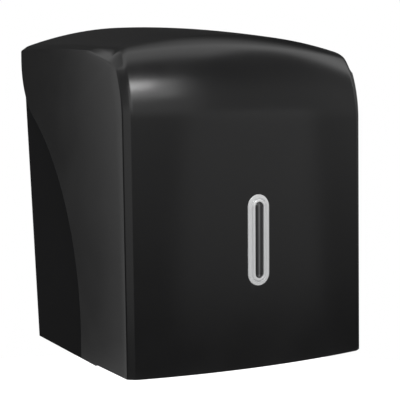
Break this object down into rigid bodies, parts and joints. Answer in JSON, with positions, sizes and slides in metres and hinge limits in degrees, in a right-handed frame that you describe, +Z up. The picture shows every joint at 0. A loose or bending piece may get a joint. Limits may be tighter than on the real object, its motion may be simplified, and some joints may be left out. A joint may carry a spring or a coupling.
{
  "type": "centrefeed roll dispenser",
  "caption": "Wall dispenser for a centrefeed paper roll: rear housing with roll shelf and swivelling outlet nozzle, drop-down crowned cover with sight window and cam lock.",
  "frame": {"origin": "centre of the four wall-screw holes, on the wall plane at the housing's back face", "axes": "+X to the right seen from the front, +Y into the wall, +Z up; the front looks along -Y"},
  "size_m": [0.246, 0.2353, 0.31],
  "materials": {
    "cover_plastic": "satin black moulded ABS",
    "housing_plastic": "fine-grained black moulded ABS",
    "shelf_plastic": "dark grey moulded ABS",
    "nozzle_plastic": "polished black acetal",
    "star_rubber": "soft matte",
    "bezel_silver": "satin silver lacquer on ABS",
    "lens_smoke": "clear smoke-tinted polycarbonate",
    "steel": "zinc-plated steel",
    "lock_plating": "satin nickel plating on die-cast zinc"
  },
  "bodies": {
    "housing": {"rear_housing": "housing_plastic", "roll_shelf": "shelf_plastic", "shelf_screws": "steel", "hinge_pin_left": "steel", "hinge_pin_right": "steel", "catch_bracket": "steel", "catch_screws": "steel", "nozzle_ring": "housing_plastic", "nozzle_ring_screws": "steel"},
    "nozzle": {"swivel_nozzle": "nozzle_plastic", "tension_star": "star_rubber"},
    "cover": {"front_cover": "cover_plastic", "window_bezel": "bezel_silver", "window_lens": "lens_smoke", "window_retainer": "housing_plastic", "lock_barrel": "lock_plating", "lock_washer": "steel", "lock_nut": "lock_plating"},
    "lock": {"lock_plug": "lock_plating", "lock_cam": "steel", "lock_cam_screw": "steel"}
  },
  "joints": [
    {"name": "cover_hinge", "type": "hinge", "parent": "housing", "child": "cover", "pos_m": [0, -0.146, -0.1405], "axis": [1, 0, 0], "range_deg": [0, 100]},
    {"name": "lock_turn", "type": "hinge", "parent": "cover", "child": "lock", "pos_m": [0, -0.03646, 0.14409], "axis": [0, 0.0606, -0.9982], "range_deg": [0, 90]},
    {"name": "nozzle_swivel", "type": "hinge", "parent": "housing", "child": "nozzle", "pos_m": [0, -0.114, -0.13], "axis": [0, 0, 1], "continuous": true}
  ]
}
